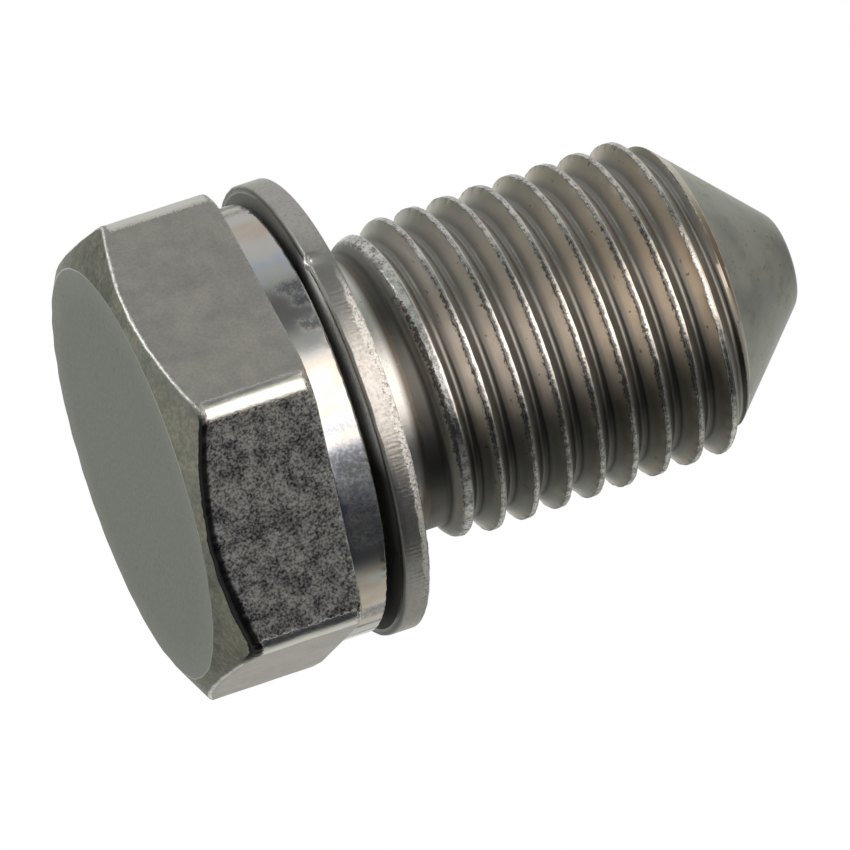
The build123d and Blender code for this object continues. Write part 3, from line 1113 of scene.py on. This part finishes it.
# The tent's panels: direction as right, up and towards the camera, inner and outer angle in degrees, colour
TENT_PANELS = (
    ((0.0, 0.05, -1.0), 8.0, 34.0, (0.77, 0.79, 0.75)),
    ((-0.16, 0.86, -0.50), 14.0, 42.0, (0.60, 0.59, 0.57)),
    ((0.86, 0.28, -0.44), 8.0, 32.0, (0.20, 0.205, 0.19)),
    ((-0.80, 0.16, -0.58), 6.0, 26.0, (0.16, 0.17, 0.15)),
    ((0.28, -0.64, -0.72), 10.0, 30.0, (0.62, 0.60, 0.55)),
    ((-0.42, -0.50, -0.76), 12.0, 27.0, (0.30, 0.31, 0.285)),
    ((-0.64, -0.63, -0.45), 14.0, 28.0, (0.15, 0.155, 0.14)),
    ((-0.85, -0.27, 0.45), 10.0, 30.0, (0.26, 0.26, 0.24)),
    ((-0.45, 0.0, 0.90), 18.0, 45.0, (0.22, 0.22, 0.22)),
    ((0.07, 0.88, 0.47), 6.0, 19.0, (0.13, 0.135, 0.14)),
    ((0.75, -0.62, 0.05), 14.0, 28.0, (0.03, 0.03, 0.03)),
    ((0.35, -0.76, 0.52), 28.0, 42.0, (0.035, 0.037, 0.042)),
    ((0.78, 0.36, 0.52), 12.0, 34.0, (1.10, 0.95, 0.83)),
    ((0.45, 0.15, 0.88), 17.0, 34.0, (2.03, 1.88, 1.73)),
    ((-0.72, 0.64, 0.26), 7.0, 16.0, (1.7, 1.7, 1.7)),
)
TENT_GREY = (0.43, 0.445, 0.41)
TENT_RADIUS = 1.4

FLOOR_SIZE = 4.0
FLOOR_DROP = 0.00005


def make_tent(centre):
    """A light tent that only the metal mirrors: grey, with brighter and darker panels round the camera."""
    material = bpy.data.materials.new("light_tent")
    material.use_nodes = True
    material.cycles.emission_sampling = "NONE"
    tree = material.node_tree
    tree.nodes.clear()
    place = add_node(tree, "ShaderNodeTexCoord").outputs["Object"]
    unit = add_node(tree, "ShaderNodeVectorMath", {0: place}, operation="NORMALIZE").outputs["Vector"]
    colour = TENT_GREY
    for direction, inner, outer, panel in TENT_PANELS:
        inputs = {0: unit, 1: from_camera(*direction)}
        dot = add_node(tree, "ShaderNodeVectorMath", inputs, operation="DOT_PRODUCT")
        inputs = {
            "Value": dot.outputs["Value"],
            "From Min": math.cos(math.radians(outer)),
            "From Max": math.cos(math.radians(inner)),
        }
        edge = add_node(tree, "ShaderNodeMapRange", inputs, interpolation_type="SMOOTHSTEP")
        inputs = {"Factor": edge.outputs["Result"], MIX_FROM: colour, MIX_TO: panel}
        colour = add_node(tree, "ShaderNodeMix", inputs, data_type="RGBA").outputs[MIX_RESULT]
    glow = add_node(tree, "ShaderNodeEmission", {"Color": colour})
    add_node(tree, "ShaderNodeOutputMaterial", {"Surface": glow.outputs["Emission"]})

    bpy.ops.mesh.primitive_uv_sphere_add(segments=48, ring_count=24, radius=TENT_RADIUS, location=centre)
    tent = bpy.context.object
    tent.name = "light_tent"
    tent.data.materials.append(material)
    tent.visible_camera = False
    tent.visible_diffuse = False
    tent.visible_shadow = False
    tent.visible_transmission = False


def make_floor(centre):
    """A pale floor that is seen from above only, because the photo's camera looks from below it."""
    material = bpy.data.materials.new("studio_floor")
    material.use_nodes = True
    tree = material.node_tree
    paint = tree.nodes["Principled BSDF"]
    paint.inputs["Base Color"].default_value = (0.9, 0.9, 0.89, 1.0)
    paint.inputs["Roughness"].default_value = 0.8
    side = add_node(tree, "ShaderNodeNewGeometry").outputs["Backfacing"]
    clear = add_node(tree, "ShaderNodeBsdfTransparent").outputs["BSDF"]
    mix = add_node(tree, "ShaderNodeMixShader", {"Fac": side, 1: paint.outputs["BSDF"], 2: clear})
    tree.links.new(mix.outputs["Shader"], tree.nodes["Material Output"].inputs["Surface"])
    bpy.ops.mesh.primitive_plane_add(size=FLOOR_SIZE, location=(centre.x, centre.y, -FLOOR_DROP))
    floor = bpy.context.object
    floor.name = "studio_floor"
    floor.data.materials.append(material)
    floor.visible_diffuse = False
    floor.visible_glossy = False
    floor.visible_shadow = False


def make_world():
    """White for what the camera and the metal see directly, and a plain level for the light itself."""
    world = bpy.data.worlds.new("studio")
    bpy.context.scene.world = world
    world.use_nodes = True
    tree = world.node_tree
    tree.nodes.clear()
    path = add_node(tree, "ShaderNodeLightPath")
    seen = path.outputs["Is Camera Ray"]
    for ray in ("Is Glossy Ray", "Is Transmission Ray"):
        inputs = {0: seen, 1: path.outputs[ray]}
        seen = add_node(tree, "ShaderNodeMath", inputs, operation="MAXIMUM").outputs["Value"]
    light = add_node(tree, "ShaderNodeBackground", {"Color": (0.97, 0.985, 1.0), "Strength": 0.85})
    white = add_node(tree, "ShaderNodeBackground", {"Color": (1.0, 1.0, 1.0), "Strength": 1.0})
    inputs = {"Fac": seen, 1: light.outputs["Background"], 2: white.outputs["Background"]}
    mix = add_node(tree, "ShaderNodeMixShader", inputs)
    add_node(tree, "ShaderNodeOutputWorld", {"Surface": mix.outputs["Shader"]})


def make_lamp(name, centre, direction, distance, width, height, power):
    """A soft rectangle of light that faces the centre and isn't mirrored."""
    lamp = bpy.data.lights.new(name, "AREA")
    lamp.shape = "RECTANGLE"
    lamp.size, lamp.size_y = width, height
    lamp.energy = power
    obj = bpy.data.objects.new(name, lamp)
    bpy.context.scene.collection.objects.link(obj)
    obj.location = centre + from_camera(*direction) * distance
    obj.rotation_mode = "QUATERNION"
    obj.rotation_quaternion = (centre - obj.location).to_track_quat("-Z", "Y")
    obj.visible_glossy = False
    obj.visible_camera = False


def make_camera():
    data = bpy.data.cameras.new("photo_camera")
    data.sensor_width = SENSOR_WIDTH
    data.lens = FOCAL_LENGTH
    data.clip_start = 0.01
    data.clip_end = 20.0
    camera = bpy.data.objects.new("photo_camera", data)
    bpy.context.scene.collection.objects.link(camera)
    turn = Matrix((CAMERA_RIGHT, CAMERA_UP, CAMERA_BACK)).transposed()
    camera.matrix_world = Matrix.Translation(CAMERA_PLACE) @ turn.to_4x4()
    bpy.context.scene.camera = camera


# The scene

make_camera()
bpy.context.scene.view_settings.view_transform = "Standard"

metals = {
    "crown": crown_metal(),
    "chamfer": chamfer_metal(),
    "flats": flat_metal(),
    "collar": collar_metal(),
    "neck": neck_metal(),
    "rolled": rolled_metal(),
    "cone": cone_metal(),
    "gap": gap_metal(),
    "washer_rim": washer_rim_metal(),
}

plug = make_plug(metals)
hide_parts("drain_plug_body")
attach(plug, "plug")

washer = make_washer(metals)
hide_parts("sealing_washer")
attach(washer, "washer")

middle = (plug_low + plug_high) / 2
make_world()
make_tent(middle)
make_floor(middle)
make_lamp(
    "key_softbox", middle, direction=(0.42, 0.22, 0.88), distance=0.8, width=0.5, height=0.5, power=2.0
)
